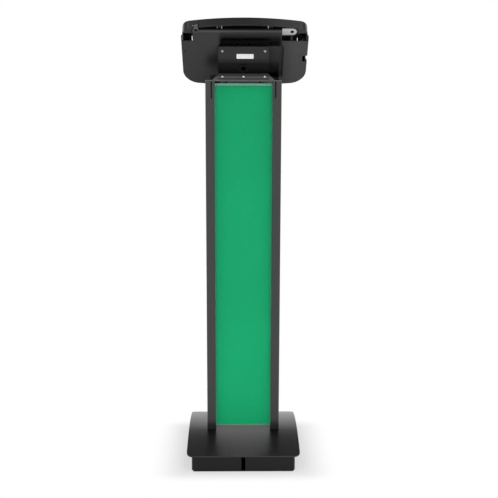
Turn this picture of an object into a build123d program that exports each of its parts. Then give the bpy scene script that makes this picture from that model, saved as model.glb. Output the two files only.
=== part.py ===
# Free-standing tablet security kiosk: arched base, two-upright column with graphic panels,
# folded neck and a lockable landscape enclosure tilted towards the user.
# Millimetres. +Z up, the user stands on the -Y side, origin under the centre of the base.
from build123d import *
from math import sqrt, sin, cos, tan, radians, acos, atan2, degrees
import os

os.makedirs("parts", exist_ok=True)

# Base
plate_width = 280.0
plate_depth = 300.0
plate_thickness = 3.0
plate_edge_height = 44.5
plate_rise = 20.0
plate_corner_radius = 15.0
plinth_side_inset = 12.0
plinth_end_inset = 8.0
plinth_width = plate_width - 2 * plinth_side_inset
plinth_depth = plate_depth - 2 * plinth_end_inset
plinth_wall = 2.5
plinth_corner_radius = 9.0
plinth_flange = 16.0
cable_notch_width = 10.0
cable_notch_bridge = 4.0
ballast_thickness = 10.0
rib_thickness = 5.0
rib_offset = 50.0
rib_window_height = 14.0
rib_window_length = 70.0
foot_height = 2.5
foot_radius = 8.0
foot_inset = 10.5

# Column
column_width = 185.0
column_depth = 48.0
column_top = 950.0
upright_width = 22.5
upright_outer_radius = 6.0
upright_inner_radius = 1.2
upright_wall = 2.4
panel_recess = 12.0
board_thickness = 3.0
sheet_thickness = 2.0
groove_depth = 7.0
panel_bottom = 71.0
panel_top_gap = 5.0
board_drop = 5.3
spine_groove_width = 6.0
spine_groove_depth = 5.0
port_radius = 3.4
port_boss = 3.0
release_slot_width = 3.2
release_slot_length = 41.0
release_slot_inset = 14.8
spreader_height = 25.0
spreader_heights = (360.0, 655.0)
spreader_hole_radius = 4.0
rail_depth = 26.0

# Column head
top_plate_thickness = 3.0
cap_height = 13.5
cap_wall = 2.5
cap_foot_width = 152.0
cap_foot_depth = 44.0
cap_crown_width = 124.0
cap_crown_rear = 2.0
cap_front = -22.0
cap_cable_width = 60.0
cap_cable_depth = 11.0
nut_bar_length = 120.0
nut_bar_depth = 14.0
spreader_drop = 6.0

# Neck
neck_width = 122.0
neck_wall = 3.0
neck_flange_length = 21.0
neck_flange_thickness = 2.5
neck_rear = 24.0
neck_belly_height = 995.0
neck_top_height = 1030.0
neck_cable_radius = 9.5
neck_cover_thickness = 2.0
neck_cover_overlap = 2.0
neck_cover_lip = 9.0
neck_cover_bend = 1.5
neck_window_margin = 9.0
grommet_lip = 2.5
grommet_lip_height = 1.6
grommet_bore_radius = 6.5

# Enclosure placement: its own plane has X across, Y up the slope and Z out of the screen
head_tilt = 45.0
head_x = -3.0
head_y = -2.0
head_z = 1007.5

# Enclosure front frame
frame_half_width = 148.5
frame_top = 98.3
frame_top_sag = 12.8
frame_bottom = -90.4
frame_bottom_sag = 9.0
frame_top_radius = 20.0
frame_bottom_radius = 40.0
frame_height = 31.0
frame_wall = 2.5
frame_edge = 1.6
frame_rim_gap = 0.3
window_side_border = 21.0
window_top_border = 20.3
window_bottom_border = 20.4
window_half_width = frame_half_width - window_side_border
window_top = frame_top - window_top_border
window_bottom = frame_bottom + window_bottom_border
window_radius = 12.0
relief_inset = 26.5
relief_height = 4.3
gusset_width = 22.5
gusset_drop = 23.8
gusset_inner = frame_half_width - gusset_width
gusset_foot = frame_top - gusset_drop
gusset_thickness = 2.5
port_notch_centre = -5.0
port_notch_length = 20.0
port_hole_centre = -1.0
port_hole_length = 12.0
port_notch_height = 20.0

# Enclosure back cover
cover_thickness = 2.0
cover_overlap = 2.8
cover_wrap_height = 10.0
cover_wrap_gap = 0.8
cover_crown_drop = 15.0
cover_crown = frame_top - cover_crown_drop
cover_shoulder_drop = 31.8
cover_shoulder = cover_crown - cover_shoulder_drop
cover_wrap_rise = 10.5
cover_wrap_top = cover_shoulder + cover_wrap_rise
cover_wrap_foot = 15.4
cover_wrap_bottom = frame_bottom + cover_wrap_foot
cover_wrap_taper = 20.0
cover_crown_inset = 25.0
cover_crown_half_width = frame_half_width - cover_crown_inset
cover_crown_flange = 14.0
lock_opening_width = 60.7
lock_opening_edge = lock_opening_width - frame_half_width
port_notch_depth = 11.8
pocket_left = 65.0
pocket_right = -93.8
pocket_drop = 13.3
pocket_top = cover_crown - pocket_drop
pocket_rise = 24.4
pocket_bottom = frame_bottom + pocket_rise
pocket_depth = 11.0
pocket_corner_width = 17.5
pocket_corner_height = 37.0
pocket_sweep_radius = 46.0
pocket_cable_radius = 11.0
pocket_cable_offset = -21.0
vent_count = 5
vent_pitch = 14.2
vent_width = 3.9
vent_length = 10.0
vent_corner = 1.2
vent_centre_x = 4.0
vent_centre_y = 30.0
pin_hole_inset = 5.5
pin_hole_y = 19.5
pin_hole_radius = 2.2
bend_radius = 1.5

# Mount plate between neck and enclosure
mount_plate_width = 108.0
mount_plate_top = 22.0
mount_plate_bottom = -62.0
mount_plate_thickness = 3.0
mount_hole_spacing = 75.0
mount_hole_radius = 2.6
mount_plate_corner = 6.0

# Anchor boss at the upper left
boss_inset = 33.0
boss_stand = 1.1
boss_x = frame_half_width - boss_inset
boss_y = cover_crown + boss_stand
boss_radius = 6.6
boss_bore = 4.2
boss_height = 14.0
boss_notch_height = 15.5
boss_notch_half = 7.4

# Lock bar
bar_right_inset = 25.7
bar_right = bar_right_inset - frame_half_width
bar_left_inset = 50.5
bar_left = frame_half_width - bar_left_inset
bar_drop = 2.3
bar_top = cover_crown - bar_drop
bar_end_height = 20.3
bar_bottom = bar_top - bar_end_height
bar_step = 4.8
bar_shoulder = bar_top - bar_step
bar_end_length = 36.8
bar_shoulder_x = bar_right + bar_end_length
bar_thickness = 3.0
bar_level = 11.0
bar_hole_inset = 10.8
bar_hole_x = bar_right + bar_hole_inset
bar_hole_radius = 4.2
bar_notch_width = 15.0
bar_notch_depth = 7.7
bar_notch_foot = bar_shoulder - bar_notch_depth
catch_offset = 60.0
catch_width = 10.0
catch_thickness = 2.2
catch_level = 8.5
catch_toe_gap = 3.5
catch_reach = bar_notch_foot + catch_toe_gap
catch_stem_gap = 6.1
catch_stem_inner = cover_crown + catch_stem_gap
catch_foot = 7.0
catch_clearance = 0.5
guide_offsets = (-71.0, 84.0)
guide_width = 4.6
guide_wall = 2.0
guide_foot = 4.0

# Tablet tray
tray_side_gap = 23.3
tray_half_width = frame_half_width - tray_side_gap
tray_top_rise = 2.7
tray_top = cover_crown + tray_top_rise
tray_bottom_rise = 14.4
tray_bottom = frame_bottom + tray_bottom_rise
tray_level = 16.7
tray_thickness = 1.5
tray_corner = 6.0
tray_window_width = 42.0
tray_window_height = 84.0
tray_window_offset = 58.0
tray_window_corner = 8.0
tray_ear_gap = 20.0
tray_ear_edge = frame_half_width - tray_ear_gap
tray_ear_drop = 1.5
tray_ear_top = gusset_foot - tray_ear_drop
tray_ear_foot_left = 52.0
tray_ear_foot_right = 47.0
standoff_radius = 4.0
standoff_inset = 13.2
standoff_x = tray_half_width - standoff_inset
standoff_rows = (-62.0, 44.0)
pad_thickness = 2.3
pad_width = 12.0
pad_length = 150.0
pad_rows = (-62.0, 64.5)
gasket_thickness = 1.5
gasket_width = 7.0

# Hinges of the front frame
hinge_drop = 4.2
hinge_axis_z = 1.0
hinge_barrel_radius = 3.8
hinge_pin_radius = 1.8
hinge_offset = 38.0
hinge_length = 42.0
hinge_leaf_thickness = 1.5
hinge_leaf_depth = 15.0
hinge_relief = 62.0
hinge_knuckle_share = 1 / 3

# Fasteners: head radius, head height, shank radius
small_screw = (3.6, 2.4, 1.9)
medium_screw = (4.6, 2.9, 2.5)
column_bolt = (6.6, 4.6, 3.35)
rim_share = 0.4
fastener_sides = 8
round_sides = 24
cap_screw_offset = 51.0
cap_screw_share = 0.66
cap_screw_length = 6.6
neck_screw_offset = 51.0
neck_screw_height = 1020.9
neck_screw_length = 4.5
column_bolt_length = 26.0
top_bolt_length = 22.0
neck_bolt_offset = 42.0
neck_bolt_nut_height = 5.0
mount_screw_length = 4.6
tray_screw_length = 6.0
bore_clearance = 0.3

# Fits and helpers
seat_gap = 0.2
fit_gap = 0.3
running_gap = 0.05
overrun = 5.0

# Derived levels
crest_height = plate_edge_height + plate_rise
plate_radius = ((plate_depth / 2) ** 2 + plate_rise ** 2) / (2 * plate_rise)
plate_axis_height = crest_height - plate_radius
ballast_base = foot_height + plinth_wall
ballast_top = ballast_base + ballast_thickness
inner_face = column_width / 2 - upright_width
panel_face = column_depth / 2 - panel_recess
panel_stack = board_thickness + sheet_thickness
panel_top = column_top - panel_top_gap
spine_depth = 2 * (panel_face - panel_stack - fit_gap)
deck_height = column_top + top_plate_thickness
crown_height = deck_height + cap_height
port_x = inner_face + groove_depth + port_boss + port_radius
port_y = panel_face + upright_wall + port_radius
pad_level = tray_level + tray_thickness
bezel_level = frame_height - frame_wall
mount_level = pocket_depth - mount_plate_thickness
hinge_axis_y = frame_bottom - hinge_drop


def save(name, solids):
    """Write one node, as a single solid or a group of separate ones."""
    if isinstance(solids, list):
        solids = [piece for group in solids for piece in group.solids()]
        export_step(Compound(children=solids), f"parts/{name}.step")
    else:
        export_step(solids, f"parts/{name}.step")


def block(x_span, y_span, z_span):
    """Box between two limits on each axis."""
    size = [span[1] - span[0] for span in (x_span, y_span, z_span)]
    low = Pos(x_span[0], y_span[0], z_span[0])
    return low * Box(*size, align=(Align.MIN, Align.MIN, Align.MIN))


def side_prism(points, half_width):
    """Outline in the Y-Z plane, extruded across X on both sides."""
    face = make_face(Polyline(*points, close=True))
    return extrude(Plane.YZ * face, amount=half_width, both=True)


def plan_prism(face, low, high):
    """Flat face lifted to one level and extruded to another."""
    return Pos(0, 0, low) * extrude(face, amount=high - low)


def both_sides(solid):
    """A solid and its mirror image across the centre plane."""
    return [solid, mirror(solid, about=Plane.YZ)]


def facet_bar(radius, low, high, sides=fastener_sides):
    """Faceted pin, so that small repeated fasteners stay light."""
    return plan_prism(RegularPolygon(radius, sides), low, high)


def cut_corners(width, height, corner):
    """Rectangle with its corners cut off at 45 degrees."""
    return chamfer(Rectangle(width, height).vertices(), corner)


def many_sided(radius, sides=round_sides):
    """Polygon whose flats lie on a circle of this radius, for a light opening."""
    return RegularPolygon(radius, sides, major_radius=False)


def bevelled(bar, level, bevel):
    """Faceted pin with the edges at one level taken off."""
    rim = bar.edges().filter_by(lambda edge: abs(edge.center().Z - level) < bevel / 2)
    return chamfer(rim, bevel)


def screw(kind, length):
    """Screw with a bevelled head above z = 0 and its shank below."""
    head_radius, head_height, shank_radius = kind
    head = bevelled(facet_bar(head_radius, 0, head_height), head_height, head_height * (1 - rim_share))
    return head + facet_bar(shank_radius, -length, 0)


def flat_screw(kind, length, grow=0):
    """Countersunk screw with its flat top at z = 0."""
    head_radius, head_height, shank_radius = kind
    drop = head_radius - shank_radius
    head = bevelled(facet_bar(head_radius + grow, -drop, 0), -drop, drop * (1 - seat_gap))
    return head + facet_bar(shank_radius + grow, -length, -drop)


def bore(kind, reach):
    """Clearance for a shank, both ways from the screw's seat."""
    return facet_bar(kind[2] + running_gap, -reach, reach)


# Base

def arch_section(radius, base):
    """Region under a circle about the plate's own axis, down to a level."""
    half = plate_depth / 2 + overrun
    reach = plate_axis_height + sqrt(radius ** 2 - half ** 2)
    return make_face([
        ThreePointArc((-half, reach), (0, plate_axis_height + radius), (half, reach)),
        Line((half, reach), (half, base)),
        Line((half, base), (-half, base)),
        Line((-half, base), (-half, reach)),
    ])


def under_arch(radius, base=0):
    """Everything under that circle, wider than the base."""
    return extrude(Plane.YZ * arch_section(radius, base), amount=plate_width, both=True)


def upright_outline(grow=0):
    """Plan outline of the right-hand upright, with its large outer corners."""
    low_x, high_x = inner_face - grow, column_width / 2 + grow
    half = column_depth / 2 + grow
    face = Pos((low_x + high_x) / 2, 0) * Rectangle(high_x - low_x, 2 * half)
    outer = face.vertices().group_by(Axis.X)[-1]
    face = fillet(outer, upright_outer_radius)
    return fillet(face.vertices().group_by(Axis.X)[0], upright_inner_radius)


def base_plate():
    plan = RectangleRounded(plate_width, plate_depth, plate_corner_radius)
    plate = under_arch(plate_radius) - under_arch(plate_radius - plate_thickness, -overrun)
    plate = plate & plan_prism(plan, 0, crest_height + overrun)
    for hole in both_sides(plan_prism(upright_outline(fit_gap), 0, crest_height + overrun)):
        plate -= hole
    return plate


def plinth():
    outer = RectangleRounded(plinth_width, plinth_depth, plinth_corner_radius)
    inner = offset(outer, -plinth_wall)
    well = offset(outer, -plinth_wall - plinth_flange)
    skirt = plan_prism(outer, foot_height, crest_height)
    skirt -= plan_prism(inner, foot_height + plinth_wall, crest_height + overrun)
    skirt -= plan_prism(well, 0, crest_height)
    skirt = skirt & under_arch(plate_radius - plate_thickness - seat_gap)
    half = cable_notch_width / 2
    edge = plinth_depth / 2
    notch = block((-half, half), (edge - plinth_wall - plinth_flange - overrun, edge + overrun),
                  (0, plate_edge_height - plate_thickness - cable_notch_bridge))
    return skirt - notch


def ballast_plate():
    clearance = plinth_wall + fit_gap
    plan = RectangleRounded(plinth_width - 2 * clearance, plinth_depth - 2 * clearance,
                            plinth_corner_radius - plinth_wall)
    plate = plan_prism(plan, ballast_base, ballast_top)
    half = cable_notch_width / 2
    groove = block((-half, half), (column_depth / 2 + overrun, plinth_depth),
                   (0, ballast_top + overrun))
    plate -= groove
    for place in column_bolt_places():
        plate -= place * facet_bar(column_bolt[0] + bore_clearance, -overrun, column_bolt[1])
        plate -= place * bore(column_bolt, ballast_thickness + overrun)
    return plate


def column_bolt_places():
    """Bolt seats in the underside of the ballast plate, two under each upright."""
    return [Pos(side * port_x, row * port_y, ballast_base)
            for side in (-1, 1) for row in (-1, 1)]


def arch_rib():
    """Upright web between the ballast plate and the cover plate, with a lightening window."""
    length = plinth_depth / 2 - plinth_wall - fit_gap
    start = column_depth / 2 + overrun
    web = block((rib_offset, rib_offset + rib_thickness), (start, length), (ballast_top, crest_height))
    web = web & under_arch(plate_radius - plate_thickness - seat_gap)
    middle = (start + length) / 2
    half = rib_window_length / 2
    low = ballast_top + rib_thickness
    window = block((0, plate_width), (middle - half, middle + half), (low, low + rib_window_height))
    return web - window


def feet():
    x = plinth_width / 2 - foot_inset
    y = plinth_depth / 2 - foot_inset
    return [Pos(i * x, j * y) * facet_bar(foot_radius, 0, foot_height, round_sides)
            for i in (-1, 1) for j in (-1, 1)]


def column_bolts():
    """Heads sunk in the ballast plate, shanks up into the ports of the uprights."""
    turn = Rot(180, 0, 0)
    lift = Pos(0, 0, column_bolt[1])
    return [place * lift * turn * screw(column_bolt, column_bolt_length)
            for place in column_bolt_places()]


# Column

def upright():
    profile = upright_outline()
    outer_wall = column_width / 2 - upright_wall
    web = inner_face + groove_depth + port_boss
    middle = panel_face - upright_wall
    profile -= Pos((web + outer_wall) / 2, 0) * Rectangle(outer_wall - web, 2 * middle)
    cell = (inner_face + upright_wall, port_x - port_radius - port_boss)
    cell_y = (panel_face + fit_gap + upright_wall, column_depth / 2 - upright_wall)
    spine = Pos(inner_face, 0) * Rectangle(2 * spine_groove_depth, spine_groove_width)
    profile -= spine
    for row in (-1, 1):
        centre = row * (panel_face - panel_stack / 2)
        groove = Rectangle(2 * groove_depth, panel_stack + 2 * fit_gap)
        profile -= Pos(inner_face, centre) * groove
        profile -= Pos(port_x, row * port_y) * many_sided(port_radius, fastener_sides)
        profile -= Pos(sum(cell) / 2, row * sum(cell_y) / 2) * Rectangle(
            cell[1] - cell[0], cell_y[1] - cell_y[0])
    bar = plan_prism(profile, ballast_top, column_top)
    slot_x = column_width / 2 - release_slot_inset
    half = release_slot_width / 2
    floor = column_top - release_slot_length
    face = column_depth / 2
    slot = block((slot_x - half, slot_x + half), (panel_face, face + overrun),
                 (floor + half, column_top + overrun))
    end = Pos(slot_x, (panel_face + face + overrun) / 2, floor + half)
    depth = (face + overrun - panel_face) / 2
    round_end = end * Rot(90, 0, 0) * plan_prism(many_sided(half), -depth, depth)
    return bar - slot - round_end


def panel(face_low, thickness, top):
    half = inner_face + groove_depth - fit_gap
    return block((-half, half), (face_low, face_low + thickness), (panel_bottom, top))


def bottom_rail():
    """Strip on the crest of the base that the panels stand on."""
    half = inner_face - fit_gap
    rail = block((-half, half), (-rail_depth / 2, rail_depth / 2),
                 (crest_height + seat_gap, panel_bottom))
    cable = block((-cap_cable_width / 2, cap_cable_width / 2),
                  (-spine_depth / 2, spine_depth / 2), (0, panel_bottom + overrun))
    return rail - cable


def spreader(low):
    """Cross member with a tongue in each upright's centre groove and a row of cable holes."""
    half = inner_face - fit_gap
    high = low + spreader_height
    bar = block((-half, half), (-spine_depth / 2, spine_depth / 2), (low, high))
    tongue_end = inner_face + spine_groove_depth - fit_gap
    tongue = spine_groove_width / 2 - fit_gap
    bar += block((-tongue_end, tongue_end), (-tongue, tongue), (low, high))
    for place in (-half / 2, 0, half / 2):
        bar -= Pos(place, 0) * facet_bar(spreader_hole_radius, low - overrun, high + overrun)
    return bar


# Column head

def column_outline():
    """Plan outline of the whole column, as the top plate has it."""
    return RectangleRounded(column_width, column_depth, upright_outer_radius)


def cable_cut(low, high):
    """Oblong cable passage through the column head."""
    centre = (cap_front + cap_crown_rear) / 2
    plan = Pos(0, centre) * cut_corners(cap_cable_width, cap_cable_depth, cap_cable_depth / 4)
    return plan_prism(plan, low, high)


def top_plate():
    plate = plan_prism(column_outline(), column_top, deck_height)
    plate -= cable_cut(0, crown_height)
    for place in top_bolt_places():
        plate -= place * flat_screw(medium_screw, overrun, running_gap)
    for place in neck_bolt_places():
        plate -= place * bore(medium_screw, 2 * cap_height)
    return plate


def top_bolt_places():
    return [Pos(side * port_x, row * port_y, deck_height) for side in (-1, 1) for row in (-1, 1)]


def neck_bolt_places():
    centre = (cap_front + cap_crown_rear) / 2
    return [Pos(side * neck_bolt_offset, centre, crown_height + neck_wall) for side in (-1, 1)]


def hip(shrink):
    """Hipped block: upright in front, sloped at the rear and the sides, every wall moved in."""
    rear_slope = atan2(cap_height, cap_front + cap_foot_depth - cap_crown_rear)
    side_slope = atan2(cap_height, (cap_foot_width - cap_crown_width) / 2)
    level = crown_height - shrink
    front = cap_front + shrink
    foot_rear = cap_front + cap_foot_depth - shrink / sin(rear_slope)
    crown_rear = cap_crown_rear - shrink * tan(rear_slope / 2)
    foot = cap_foot_width / 2 - shrink / sin(side_slope)
    crown = cap_crown_width / 2 - shrink * tan(side_slope / 2)
    across = side_prism([(front, deck_height), (foot_rear, deck_height), (crown_rear, level),
                         (front, level)], cap_foot_width)
    along = make_face(Polyline((-foot, deck_height), (foot, deck_height), (crown, level),
                               (-crown, level), close=True))
    return across & extrude(Plane.XZ * along, amount=cap_foot_width, both=True)


def column_cap():
    cap = hip(0) - hip(cap_wall)
    cap -= cable_cut(deck_height + cap_height / 2, crown_height + overrun)
    for place in cap_screw_places():
        cap -= place * bore(small_screw, cap_screw_length)
    for place in neck_bolt_places():
        cap -= place * bore(medium_screw, 2 * neck_wall)
    return cap


def slope_angle():
    run = cap_front + cap_foot_depth - cap_crown_rear
    return degrees(atan2(cap_height, run))


def cap_screw_places():
    """Screw seats on the neck's flange, square to the rear slope of the cap."""
    angle = slope_angle()
    along = neck_flange_length * cap_screw_share
    y = cap_crown_rear + along * cos(radians(angle)) + neck_flange_thickness * sin(radians(angle))
    z = crown_height - along * sin(radians(angle)) + neck_flange_thickness * cos(radians(angle))
    return [Pos(side * cap_screw_offset, y, z) * Rot(-angle, 0, 0) for side in (-1, 0, 1)]


def nut_bar():
    """Wedge behind the rear slope that the cap screws pull on."""
    angle = radians(slope_angle())
    high = crown_height - cap_wall - seat_gap
    rear = cap_front + cap_foot_depth - (cap_wall + seat_gap) / sin(angle)
    run = cap_front + cap_foot_depth - cap_crown_rear
    tip = deck_height + cap_wall / 2
    tip_y = rear - run * (tip - deck_height) / cap_height
    ridge_y = rear - run * (high - deck_height) / cap_height
    bar = side_prism([(tip_y, deck_height), (tip_y, tip), (ridge_y, high),
                      (ridge_y - cap_wall, high), (tip_y - nut_bar_depth, deck_height)],
                     nut_bar_length / 2)
    for place in cap_screw_places():
        bar -= place * bore(small_screw, 2 * cap_screw_length)
    return bar


# Neck

def head_point(y, z):
    """A point of the enclosure's own plane in the object's Y and Z."""
    c, s = cos(radians(head_tilt)), sin(radians(head_tilt))
    return (head_y + y * c - z * s, head_z + y * s + z * c)


def neck_outline():
    """Side outline: waist, overhanging belly, upright rear, top and sloping front."""
    seat_low = head_point(mount_plate_bottom + neck_wall * 4, mount_level - seat_gap)
    seat = head_point(0, mount_level - seat_gap)
    seat_top = (seat[0] + neck_top_height - seat[1], neck_top_height)
    return [(cap_crown_rear, crown_height), (neck_rear, neck_belly_height),
            (neck_rear, neck_top_height), seat_top, seat_low, (cap_front, crown_height)]


def belly_place():
    """Middle of the overhanging underside, looking square out of it."""
    low, high = neck_outline()[0], neck_outline()[1]
    lean = degrees(atan2(high[1] - low[1], high[0] - low[0]))
    return Pos(0, (low[0] + high[0]) / 2, (low[1] + high[1]) / 2) * Rot(lean - 180, 0, 0)


def neck_flange():
    """Flange on the cap's rear slope, under its three screws."""
    angle = radians(slope_angle())
    run, fall = cos(angle), sin(angle)
    start = (cap_crown_rear, crown_height)
    end = (start[0] + neck_flange_length * run, start[1] - neck_flange_length * fall)
    skin = neck_flange_thickness
    return side_prism([start, end, (end[0] + skin * fall, end[1] + skin * run),
                       (start[0] + skin * fall, start[1] + skin * run)], neck_width / 2)


def neck_bracket():
    """Folded strip: floor, overhanging underside, rear frame, top and sloping seat."""
    outline = make_face(Polyline(*neck_outline(), close=True))
    section = outline - offset(outline, -neck_wall, kind=Kind.INTERSECTION)
    box = extrude(Plane.YZ * section, amount=neck_width / 2 - neck_wall, both=True)
    margin = neck_window_margin
    window = block((-neck_width / 2 + margin, neck_width / 2 - margin),
                   (neck_rear - 2 * neck_wall, neck_rear + overrun),
                   (neck_belly_height + margin / 2, neck_top_height - margin))
    box -= window
    box -= belly_place() * plan_prism(many_sided(neck_cable_radius), -2 * neck_wall, 2 * neck_wall)
    box -= cable_cut(crown_height - overrun, crown_height + 2 * neck_wall)
    box -= head_frame() * Pos(0, 0, -pocket_depth) * extrude(cable_hole(), amount=2 * pocket_depth)
    box += neck_flange()
    for place in cap_screw_places():
        box -= place * bore(small_screw, 2 * neck_wall)
    for place in neck_bolt_places():
        box -= place * bore(medium_screw, 2 * neck_wall)
    for place in neck_screw_places():
        box -= place * bore(small_screw, 2 * neck_wall)
    return box


def neck_cheek():
    """Side plate welded over the open side of the folded strip."""
    outline = make_face(Polyline(*neck_outline(), close=True))
    cheek = extrude(Plane.YZ * outline, amount=neck_wall)
    return Pos(neck_width / 2 - neck_wall) * cheek - neck_flange()


def neck_cover():
    """Upright rear cover with a lip folded forward over the top of the neck."""
    half = neck_width / 2
    low = neck_belly_height - neck_cover_overlap
    top = neck_top_height + neck_cover_thickness
    rear = neck_rear + neck_cover_thickness
    lip = neck_rear - neck_cover_lip
    cover = side_prism([(neck_rear, low), (rear, low), (rear, top), (lip, top),
                        (lip, neck_top_height), (neck_rear, neck_top_height)], half)
    outer = cover.edges().filter_by(Axis.X).sort_by(Axis.Z)[-2:].sort_by(Axis.Y)[-1]
    cover = fillet(outer, neck_cover_bend)
    for place in neck_screw_places():
        cover -= place * bore(small_screw, 2 * neck_wall)
    return cover


def neck_screw_places():
    return [Pos(side * neck_screw_offset, neck_rear + neck_cover_thickness, neck_screw_height)
            * Rot(-90, 0, 0) for side in (-1, 1)]


def cable_grommet():
    """Rubber ring in the underside's hole, with its lip outside."""
    ring = plan_prism(many_sided(neck_cable_radius - running_gap), -neck_wall, 0)
    ring += facet_bar(neck_cable_radius + grommet_lip, 0, grommet_lip_height, round_sides)
    ring -= facet_bar(grommet_bore_radius, -overrun, overrun, round_sides)
    return belly_place() * ring


def neck_bolts():
    """Screws down through the cap, with nuts under the top plate."""
    length = neck_wall + cap_height + top_plate_thickness + neck_bolt_nut_height
    return [place * screw(medium_screw, length) for place in neck_bolt_places()]


def neck_nuts():
    nuts = []
    for place in neck_bolt_places():
        nut = plan_prism(RegularPolygon(medium_screw[0], 6), -neck_bolt_nut_height, 0)
        nut -= bore(medium_screw, 2 * neck_bolt_nut_height)
        drop = Pos(0, 0, column_top - crown_height - neck_wall)
        nuts.append(place * drop * nut)
    return nuts


# Enclosure

def head_frame():
    return Pos(head_x, head_y, head_z) * Rot(head_tilt, 0, 0)


def frame_outline(grow=0):
    """Landscape outline with arched long edges and larger corners at the bottom."""
    half = frame_half_width
    top, bottom = frame_top - frame_top_sag, frame_bottom + frame_bottom_sag
    face = make_face([
        ThreePointArc((-half, top), (0, frame_top), (half, top)),
        Line((half, top), (half, bottom)),
        ThreePointArc((half, bottom), (0, frame_bottom), (-half, bottom)),
        Line((-half, bottom), (-half, top)),
    ])
    face = fillet(face.vertices().group_by(Axis.Y)[-1], frame_top_radius)
    face = fillet(face.vertices().group_by(Axis.Y)[0], frame_bottom_radius)
    if grow:
        face = offset(face, grow)
    return face


def window_outline(grow=0):
    middle = (window_top + window_bottom) / 2
    height = window_top - window_bottom
    return Pos(0, middle) * RectangleRounded(2 * (window_half_width + grow), height + 2 * grow,
                                             window_radius + grow)


def front_frame():
    rim = cover_thickness + frame_rim_gap
    shell = plan_prism(frame_outline(), rim, frame_height)
    front = shell.edges().filter_by(lambda edge: edge.center().Z > frame_height - frame_wall / 2)
    shell = chamfer(front, frame_edge)
    shell -= plan_prism(frame_outline(-frame_wall), 0, bezel_level)
    shell -= plan_prism(window_outline(), 0, frame_height + overrun)
    for side in (-1, 1):
        corner = Pos(side * (gusset_inner + frame_half_width) / 2, (gusset_foot + frame_top) / 2)
        corner = corner * Rectangle(frame_half_width - gusset_inner, frame_top - gusset_foot)
        corner = corner & frame_outline(-frame_wall / 2)
        shell += plan_prism(corner, rim, rim + gusset_thickness)
    shell -= block((relief_inset - frame_half_width, boss_x), (cover_crown, frame_top + overrun), (0, relief_height))
    shell -= block((boss_x - boss_notch_half, boss_x + boss_notch_half), (cover_crown, frame_top + overrun),
                   (0, boss_notch_height))
    half = port_hole_length / 2
    shell -= block((-frame_half_width - overrun, -frame_half_width + overrun),
                   (port_hole_centre - half, port_hole_centre + half), (0, port_notch_height))
    return shell


def cover_plan():
    """Flat outline of the back cover: wide body, narrower crown, notched shoulders."""
    body = frame_outline(cover_overlap)
    high = frame_top + 2 * overrun
    wide = frame_half_width + 2 * overrun
    crown = cover_crown_half_width
    strip = frame_half_width + cover_wrap_gap
    upper = Pos(0, (cover_shoulder + high) / 2) * Rectangle(2 * wide, high - cover_shoulder)
    middle = Pos((lock_opening_edge + crown) / 2, (cover_shoulder + cover_crown) / 2) * Rectangle(
        crown - lock_opening_edge, cover_crown - cover_shoulder)
    plan = (body - upper) + middle
    for side in (-1, 1):
        flank = Pos(side * (strip + wide) / 2, (cover_shoulder + cover_wrap_top) / 2)
        plan += body & (flank * Rectangle(wide - strip, cover_wrap_top - cover_shoulder))
    plan -= Pos(0, hinge_axis_y + hinge_barrel_radius + fit_gap - overrun) * Rectangle(
        2 * hinge_relief, 2 * overrun)
    seat = boss_radius + seat_gap
    plan -= Pos(boss_x, boss_y) * many_sided(seat)
    plan -= Pos(boss_x, boss_y + overrun) * Rectangle(2 * seat, 2 * overrun)
    return plan


def pocket(grow=0):
    """Pocket with chamfered upper corners and an upper edge swept down to its floor."""
    plan = make_face(Polyline(
        (pocket_right, pocket_bottom), (pocket_left, pocket_bottom),
        (pocket_left, pocket_top - pocket_corner_height),
        (pocket_left - pocket_corner_width, pocket_top),
        (pocket_right + pocket_corner_width, pocket_top),
        (pocket_right, pocket_top - pocket_corner_height), close=True))
    if grow:
        plan = offset(plan, grow, kind=Kind.INTERSECTION)
    floor = pocket_depth + grow
    radius = pocket_sweep_radius - grow
    lean = acos((pocket_sweep_radius - floor) / radius)
    foot = pocket_top - radius * sin(lean)
    middle = (pocket_top - radius * sin(lean / 2), pocket_sweep_radius - radius * cos(lean / 2))
    low, high = pocket_bottom - floor, pocket_top + floor
    profile = make_face([
        Line((low, -overrun), (low, floor)),
        Line((low, floor), (foot, floor)),
        ThreePointArc((foot, floor), middle, (pocket_top, grow)),
        Line((pocket_top, grow), (high, grow)),
        Line((high, grow), (high, -overrun)),
        Line((high, -overrun), (low, -overrun)),
    ])
    swept = extrude(Plane.YZ * profile, amount=pocket_left - pocket_right, both=True)
    return plan_prism(plan, -overrun, floor) & swept


def mount_hole_places():
    middle = (mount_plate_top + mount_plate_bottom) / 2
    half = mount_hole_spacing / 2
    return [Pos(i * half - head_x, middle + j * half, 0) for i in (-1, 1) for j in (-1, 1)]


def cable_hole():
    return Pos(-head_x, pocket_cable_offset) * many_sided(pocket_cable_radius)


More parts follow.
